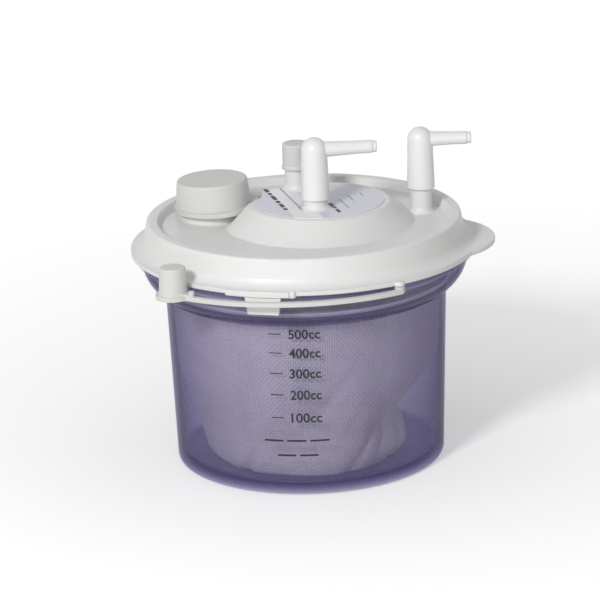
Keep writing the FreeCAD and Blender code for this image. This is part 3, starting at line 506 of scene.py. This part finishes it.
# A fine pale grid, with painted highlights where its threads cross, through which the inside of the bag can be made
# out.
BAG_CLOTH = WovenMesh("nylon_mesh_woven", "#faf9ec", "#fffff4")
# A dull white thread along the hem.
HEM_TAPE = MouldedPlastic("polyester_tape_pressed", "#ececee", "#e0e0e4", Grain.SPARKED, 0.7)
# A pale lilac ground with a whiter band of painted light across it, and a faint gloss.
LABEL_FILM = CoatedFilm("polypropylene_film_coated", "#dcdcea", "#f4f4f7")
# Flat near-black and flat grey print.
BLACK_INK = PrintedInk("screen_ink_black", "#1b1a22", "#34333d")
GREY_INK = PrintedInk("screen_ink_grey", "#8c8c98", "#a2a2ac")


# The jar and the scale printed on it


@dataclass
class Jar:
    """The clear jar, the hoop that its shoulder carries, and the volume scale on its front.

    Sizes are in mm. The starts, ends and widths along the print are azimuths in degrees. A row of the legend is its
    start, its end, its height and how many marks it has.
    """

    foot_radius: float = 56.7
    top_radius: float = 59.2
    shoulder: float = 74.2
    ink: float = 0.04
    tick_start: float = -15.8
    tick_end: float = -10.5
    tick_line: float = 0.42
    number_start: float = -7.7
    number_width: float = 12.6
    digit_height: float = 4.0
    digit_weight: float = 0.016
    bar_step: float = 1.5
    marks: tuple = ((100, 34.6), (200, 44.6), (300, 53.9), (400, 62.8), (500, 71.0))
    legend_rows: tuple = ((-19.3, 7.6, 24.5, 3), (-14.0, 2.9, 18.1, 2))
    legend_gap: float = 1.6
    legend_line: float = 0.8

    def radius(self, height: float) -> float:
        """Give the outer radius of the wall at a height, both in mm."""
        return self.foot_radius + (self.top_radius - self.foot_radius) * height / self.shoulder

    def on_wall(self, azimuth: float, height: float) -> Vector:
        """Give the point of the print at an azimuth in degrees and a height in mm, in metres."""
        return around((self.radius(height) + self.ink) * MM, math.radians(azimuth), height * MM)

    def bar(self, start: float, end: float, height: float, line: float, points: list, faces: list) -> None:
        """Add one printed bar that follows the wall.

        Args:
            start: Azimuth of its left end in degrees.
            end: Azimuth of its right end in degrees.
            height: Height of its middle in mm.
            line: Its width up the wall in mm.
            points: Points of the print, to which the bar's are added.
            faces: Faces of the print, to which the bar's are added.
        """
        steps = max(2, round(abs(end - start) / self.bar_step))
        first = len(points)
        for step in range(steps + 1):
            azimuth = start + (end - start) * step / steps
            points.append(self.on_wall(azimuth, height - 0.5 * line))
            points.append(self.on_wall(azimuth, height + 0.5 * line))
        for step in range(steps):
            corner = first + 2 * step
            faces.append((corner, corner + 2, corner + 3, corner + 1))

    def number(self, value: int, height: float, points: list, faces: list) -> None:
        """Add one printed number of the scale.

        Args:
            value: The volume that it stands for, in cubic centimetres.
            height: Height of its middle in mm.
            points: Points of the print, to which the number's are added.
            faces: Faces of the print, to which the number's are added.
        """
        curve = bpy.data.curves.new("digits", "FONT")
        curve.body = f"{value}cc"
        curve.resolution_u = 4
        curve.offset = self.digit_weight
        lettering = bpy.data.objects.new("digits", curve)
        flat = bpy.data.meshes.new_from_object(lettering)
        xs = [vertex.co.x for vertex in flat.vertices]
        tall = max(vertex.co.y for vertex in flat.vertices)
        low, wide = min(xs), max(xs) - min(xs)
        first = len(points)
        for vertex in flat.vertices:
            azimuth = self.number_start + self.number_width * (vertex.co.x - low) / wide
            points.append(self.on_wall(azimuth, height + self.digit_height * (vertex.co.y / tall - 0.5)))
        faces.extend(tuple(first + corner for corner in face.vertices) for face in flat.polygons)
        bpy.data.objects.remove(lettering)
        bpy.data.curves.remove(curve)
        bpy.data.meshes.remove(flat)

    def build(self) -> None:
        """Dress the jar and its hoop, and print the scale."""
        dress("jar", VIOLET_JAR.material())
        dress("bag_hoop", WHITE_INNER.material())
        points: list[Vector] = []
        faces: list[tuple] = []
        for value, height in self.marks:
            self.bar(self.tick_start, self.tick_end, height, self.tick_line, points, faces)
            self.number(value, height, points, faces)
        for start, end, height, marks in self.legend_rows:
            pitch = (end - start + self.legend_gap) / marks
            for mark in range(marks):
                left = start + mark * pitch
                self.bar(left, left + pitch - self.legend_gap, height, self.legend_line, points, faces)
        scale = mesh_piece("volume_scale", points, faces, BLACK_INK.material(), smooth=False)
        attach(scale, "jar")
        log.info("volume_scale: %d faces", len(faces))


# The filter bag


@dataclass
class FilterBag:
    """The woven bag: its top is folded out over the hoop, and its bottom rests on the jar's floor.

    Sizes are in mm. The hollows and creases of the slack cloth are given as how often they come round the bag and
    down it, and the flat size and the cut area of the cloth are in metres.
    """

    mouth: float = 56.4
    hem: float = 59.8
    top: float = 80.8
    floor: float = 4.9
    columns: int = 264
    rows: int = 84
    bottom_rings: int = 18
    hem_steps: int = 5
    hem_roll: float = 0.25
    fold_count: int = 7
    fold_drift: float = 5.0
    front_focus: float = 1.8
    slack_start: float = 0.1
    slack_power: float = 1.4
    hollows: tuple = (2.2, 3.4)
    hollow_depth: float = 2.6
    creases: tuple = (7.0, 2.0)
    crease_depth: float = 3.2
    crease_power: float = 1.5
    puckers: int = 11
    pucker_height: float = 0.6
    centre_radius: float = 0.2
    levels: tuple = (
        # share of the depth, then as shares of the mouth radius: left, right, front and depth of the folds
        (0.00, 1.000, 1.000, 1.000, 0.000),
        (0.14, 0.992, 0.994, 0.994, 0.000),
        (0.36, 0.990, 0.986, 0.990, 0.003),
        (0.50, 0.984, 0.962, 0.974, 0.008),
        (0.60, 0.940, 0.856, 0.957, 0.013),
        (0.69, 0.902, 0.764, 0.940, 0.017),
        (0.77, 0.866, 0.640, 0.922, 0.019),
        (0.86, 0.834, 0.726, 0.904, 0.020),
        (0.94, 0.812, 0.764, 0.886, 0.018),
        (1.00, 0.790, 0.690, 0.856, 0.012),
    )
    stitches: int = 120
    stitch_share: float = 0.66
    stitch_steps: int = 4
    thread: float = 0.16
    thread_rise: float = 1.2
    thread_gap: float = 0.02
    flat: tuple = (0.376, 0.104)
    cut_area: float = 0.0352

    def level(self, share: float) -> list[float]:
        """Read the bag's outline at a share of its depth, eased between the given levels.

        Args:
            share: 0 at the mouth and 1 at the bottom.

        Returns:
            Share of the mouth radius at the left, at the right and at the front, and the depth of the folds.
        """
        last = len(self.levels) - 1
        at = next(i for i in range(last) if share <= self.levels[i + 1][0] or i == last - 1)
        span = self.levels[at + 1][0] - self.levels[at][0]
        t = (share - self.levels[at][0]) / span
        found = []
        for column in (1, 2, 3, 4):
            slopes = []
            for i in (at, at + 1):
                before, after = self.levels[max(i - 1, 0)], self.levels[min(i + 1, last)]
                slopes.append((after[column] - before[column]) / (after[0] - before[0]) * span)
            a, b = self.levels[at][column], self.levels[at + 1][column]
            found.append((2 * t ** 3 - 3 * t ** 2 + 1) * a + (t ** 3 - 2 * t ** 2 + t) * slopes[0]
                         + (3 * t ** 2 - 2 * t ** 3) * b + (t ** 3 - t ** 2) * slopes[1])
        return found

    def sag(self, azimuth: float, share: float) -> float:
        """Give how far the slack cloth falls inwards at a place.

        Args:
            azimuth: Angle in radians, counted from the front towards +X.
            share: 0 at the mouth and 1 at the bottom.

        Returns:
            The way inwards in mm.
        """
        slack = max(0.0, share - self.slack_start) ** self.slack_power
        around_hollow, down_hollow = self.hollows
        spot = Vector((around_hollow * math.sin(azimuth), around_hollow * math.cos(azimuth), down_hollow * share))
        soft = 0.5 + 0.5 * noise.noise(spot)
        around_crease, down_crease = self.creases
        twist = azimuth + share
        drawn = Vector((around_crease * math.sin(twist), around_crease * math.cos(twist), down_crease * share))
        crease = max(0.0, noise.noise(drawn)) ** self.crease_power
        return slack * (self.hollow_depth * soft + self.crease_depth * crease)

    def build(self) -> None:
        """Weave the bag, fold its hem over the hoop and stitch it."""
        points: list[Vector] = []
        threads: list[tuple] = []
        depth = self.top - self.floor
        girth = 2 * math.pi * self.mouth
        for row in range(-self.hem_steps, self.rows + self.bottom_rings + 1):
            for column in range(self.columns + 1):
                azimuth = 2 * math.pi * column / self.columns
                along = girth * column / self.columns
                side = 0.5 + 0.5 * math.sin(azimuth)
                if row < 0:
                    turn = -row / self.hem_steps
                    reach = self.mouth + (self.hem - self.mouth) * turn
                    height = self.top - self.hem_roll * (1 - turn) ** 2
                    down = -(self.hem - self.mouth) * turn
                else:
                    share = min(1.0, row / self.rows)
                    left, right, front, fold = self.level(share)
                    flank = left + (right - left) * side
                    facing = max(0.0, math.cos(azimuth)) ** self.front_focus
                    wave = math.cos(self.fold_count * azimuth + self.fold_drift * share) - 1
                    reach = self.mouth * (flank + (front - flank) * facing)
                    reach += self.mouth * fold * wave
                    reach -= self.sag(azimuth, share)
                    height = self.top - self.hem_roll - share * (depth - self.hem_roll)
                    down = share * depth
                    if row > self.rows:
                        inward = (row - self.rows) / self.bottom_rings
                        pucker = math.sin(math.pi * inward) * (1 + math.cos(self.puckers * azimuth + 2))
                        height += self.pucker_height * pucker
                        down += reach * inward
                        reach *= 1 - inward
                points.append(around(max(reach, self.centre_radius) * MM, azimuth, height * MM))
                threads.append((along, down))
        faces = []
        wide = self.columns + 1
        for row in range(self.hem_steps + self.rows + self.bottom_rings):
            for column in range(self.columns):
                corner = row * wide + column
                faces.append((corner, corner + wide, corner + wide + 1, corner + 1))
        bag = mesh_piece("filter_bag", points, faces, BAG_CLOTH.material())
        layer = bag.data.uv_layers.new(name="threads")
        for loop in bag.data.loops:
            layer.data[loop.index].uv = threads[loop.vertex_index]
        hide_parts("bag")
        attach(bag, "jar")
        stitching = self.stitching()
        log.info("filter_bag: %d faces", len(faces))

    def stitching(self) -> bpy.types.Object:
        """Sew a running stitch round the hem.

        Returns:
            The thread as one piece.
        """
        points: list[Vector] = []
        faces: list[tuple] = []
        middle = 0.5 * (self.mouth + self.hem) * MM
        thick = self.thread * MM
        for stitch in range(self.stitches):
            start = 2 * math.pi * stitch / self.stitches
            span = 2 * math.pi / self.stitches * self.stitch_share
            first = len(points)
            for step in range(self.stitch_steps + 1):
                azimuth = start + span * step / self.stitch_steps
                lift = thick * math.sin(math.pi * step / self.stitch_steps)
                for reach, rise in ((-thick, 0.0), (0.0, self.thread_rise * thick), (thick, 0.0)):
                    height = self.top * MM + self.thread_gap * MM + rise + lift
                    points.append(around(middle + reach, azimuth, height))
            for step in range(self.stitch_steps):
                for strand in range(2):
                    corner = first + 3 * step + strand
                    faces.append((corner, corner + 3, corner + 4, corner + 1))
        thread = mesh_piece("bag_stitching", points, faces, HEM_TAPE.material())
        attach(thread, "jar")
        return thread


# The lid, its label and what stands on it


@dataclass
class Lid:
    """The lid with its caps, strap, elbows, label and float set.

    Sizes are in mm, and the label's lean is in degrees. The words, their gaps and the marks' height are shares of a
    line's height.
    """

    label_top: float = 110.78
    words: tuple = (1.3, 0.7, 1.6, 0.9)
    word_gap: float = 0.35
    mark_height: float = 0.42
    lean: float = 15.0
    lines: tuple = (
        # start of the line on the label, its length and height, and whether it is dark
        (-16.0, 20.0, 35.0, 4.2, True),
        (-9.6, 20.5, 36.0, 1.6, False),
        (11.2, -5.0, 15.0, 3.6, True),
        (15.2, 0.5, 15.0, 1.4, False),
        (18.8, 6.4, 9.0, 1.4, False),
        (24.1, 8.9, 4.5, 1.4, False),
    )

    def print_line(self, line: tuple, points: list, faces: list) -> None:
        """Add one line of plain marks on the label.

        Args:
            line: Start, length and height of the marks, and whether the line is dark.
            points: Points of the print, to which the line's are added.
            faces: Faces of the print, to which the line's are added.
        """
        x, y, long, tall, dark = line
        lean = math.radians(self.lean)
        along = Vector((math.sin(lean), -math.cos(lean), 0))
        across = Vector((math.cos(lean), math.sin(lean), 0))
        gap = self.word_gap * tall
        place = 0.0
        word = 0
        while place < long:
            end = min(place + self.words[word % len(self.words)] * tall, long)
            word += 1
            first = len(points)
            for run, rise in ((place, -0.5), (end, -0.5), (end, 0.5), (place, 0.5)):
                spot = Vector((x, y, self.label_top)) + along * run + across * (rise * self.mark_height * tall)
                points.append(spot * MM)
            faces.append((first, first + 1, first + 2, first + 3))
            place = end + gap

    def build(self) -> None:
        """Dress the lid and all that it carries, and print the label."""
        white = WHITE_LID.material()
        cap_shaded_white = CAP_WHITE_SHADED.material()
        elbow_white = WHITE_ELBOW.material()
        inner_white = WHITE_INNER.material()
        dress("lid", white)
        # The caps and the strap get the greyer white, which is painted shade.
        for node in ("spout_cap", "tandem_cap", "front_tether"):
            dress(node, cap_shaded_white)
        for node in ("vacuum_elbow", "inlet_elbow"):
            dress(node, elbow_white)
        for node in ("float_housing", "float"):
            dress(node, inner_white)
        dress("float_seal", GREY_RUBBER.material())
        dress("label", LABEL_FILM.material())
        for name, ink, dark in (("label_headings", BLACK_INK, True), ("label_lines", GREY_INK, False)):
            points: list[Vector] = []
            faces: list[tuple] = []
            for line in self.lines:
                if line[-1] == dark:
                    self.print_line(line, points, faces)
            marks = mesh_piece(name, points, faces, ink.material(), smooth=False)
            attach(marks, "lid")
            log.info("%s: %d marks", name, len(faces))


# The studio


@dataclass
class Studio:
    """The floor, light and camera.

    Sizes are in metres, powers in watts, the lens and the sensor in mm and the roll in degrees.
    """

    camera_place: tuple = (0.0, -1.42719, 0.51166)
    aim: tuple = (-0.002704, 0.004975, 0.065681)
    roll: float = 1.966
    lens: float = 212.2
    sensor: float = 36.0
    floor_size: float = 6.0
    key_place: tuple = (-0.6, -1.17, 0.9)
    key_size: float = 0.26
    key_power: float = 12.4
    low_place: tuple = (0.12, -1.5, 0.16)
    low_size: float = 0.5
    low_power: float = 2.6
    fill_strength: float = 0.36
    target: tuple = (0.0, 0.0, 0.06)
    floor_lift: tuple = (0.36, 0.64)
    lift_reach: tuple = (0.08, 0.5)

    def direct_sight(self, tree: bpy.types.NodeTree) -> bpy.types.NodeSocket:
        """Tell what is seen straight, in a reflection or through a clear wall from what only lights a surface.

        Args:
            tree: Node tree of the material or world.

        Returns:
            An output of 1 where the background is seen and of 0 where it only gives light.
        """
        path = add(tree, "ShaderNodeLightPath")
        seen = add(tree, "ShaderNodeMath", {
            0: path.outputs["Is Camera Ray"], 1: path.outputs["Is Glossy Ray"]}, operation="MAXIMUM")
        through = add(tree, "ShaderNodeMath", {
            0: seen.outputs[0], 1: path.outputs["Is Transmission Ray"]}, operation="MAXIMUM")
        first = add(tree, "ShaderNodeMath", {0: path.outputs["Diffuse Depth"], 1: 0.5}, operation="LESS_THAN")
        return add(tree, "ShaderNodeMath", {0: through.outputs[0], 1: first.outputs[0]},
                   operation="MULTIPLY").outputs[0]

    def world(self) -> None:
        """Light the object evenly from all round, and show the camera a white background."""
        world = bpy.data.worlds.new("studio")
        bpy.context.scene.world = world
        world.use_nodes = True
        tree = world.node_tree
        tree.nodes.clear()
        strength = add(tree, "ShaderNodeMapRange", {
            "Value": self.direct_sight(tree), "To Min": self.fill_strength, "To Max": 1.0})
        sky = add(tree, "ShaderNodeBackground", {"Color": linear("#ffffff"), "Strength": strength.outputs["Result"]})
        add(tree, "ShaderNodeOutputWorld", {"Surface": sky.outputs["Background"]})

    def floor(self) -> None:
        """Lay a white floor that keeps the object's shadow."""
        material, tree = blank_material("paper_sheet_matte")
        place = add(tree, "ShaderNodeTexCoord").outputs["Object"]
        away = add(tree, "ShaderNodeVectorMath", {0: place}, operation="LENGTH")
        # Near the object the paper keeps its shadow, and further off it turns to plain white.
        glow_there = add(tree, "ShaderNodeMapRange", {
            "Value": away.outputs["Value"], "From Min": self.lift_reach[0], "From Max": self.lift_reach[1],
            "To Min": self.floor_lift[0], "To Max": self.floor_lift[1]})
        lift = add(tree, "ShaderNodeMath", {
            0: self.direct_sight(tree), 1: glow_there.outputs["Result"]}, operation="MULTIPLY")
        paper = add(tree, "ShaderNodeBsdfDiffuse", {"Color": linear("#ecebea")})
        glow = add(tree, "ShaderNodeEmission", {"Color": linear("#ffffff"), "Strength": lift.outputs[0]})
        both = add(tree, "ShaderNodeAddShader", {0: paper.outputs["BSDF"], 1: glow.outputs["Emission"]})
        add(tree, "ShaderNodeOutputMaterial", {"Surface": both.outputs["Shader"]})
        half = self.floor_size / 2
        corners = [Vector((x, y, 0.0)) for x, y in ((-half, -half), (half, -half), (half, half), (-half, half))]
        mesh_piece("floor", corners, [(0, 1, 2, 3)], material, smooth=False)

    def lamp(self, name: str, place: tuple, size: float, power: float) -> None:
        """Hang one square soft lamp that faces the object.

        Args:
            name: The lamp's name.
            place: Where it hangs.
            size: Length of its side.
            power: Its power in watts.
        """
        light = bpy.data.lights.new(name, "AREA")
        light.size = size
        light.energy = power
        lamp = bpy.data.objects.new(name, light)
        lamp.location = place
        lamp.rotation_euler = (Vector(place) - Vector(self.target)).to_track_quat("Z", "Y").to_euler()
        bpy.context.scene.collection.objects.link(lamp)

    def camera(self) -> None:
        """Set the camera at the photograph's angle."""
        data = bpy.data.cameras.new("camera")
        data.lens = self.lens
        data.sensor_width = self.sensor
        data.clip_start, data.clip_end = 0.05, 20.0
        camera = bpy.data.objects.new("camera", data)
        back = (Vector(self.camera_place) - Vector(self.aim)).normalized()
        right = Vector((0, 0, 1)).cross(back).normalized()
        up = back.cross(right)
        roll = math.radians(self.roll)
        x = math.cos(roll) * right - math.sin(roll) * up
        y = math.sin(roll) * right + math.cos(roll) * up
        turn = Matrix((x, y, back)).transposed().to_4x4()
        camera.matrix_world = Matrix.Translation(Vector(self.camera_place)) @ turn
        bpy.context.scene.collection.objects.link(camera)
        bpy.context.scene.camera = camera

    def build(self) -> None:
        """Set up the studio."""
        self.camera()
        self.world()
        self.floor()
        self.lamp("key", self.key_place, self.key_size, self.key_power)
        self.lamp("low", self.low_place, self.low_size, self.low_power)
        bpy.context.scene.view_settings.view_transform = "Standard"
        log.info("studio is set up")


def main() -> None:
    """Build every sub-assembly in turn."""
    logging.basicConfig(level=logging.INFO, format="%(name)s: %(message)s")
    for part in (Studio(), Jar(), FilterBag(), Lid()):
        part.build()


if __name__ == "__main__":
    main()
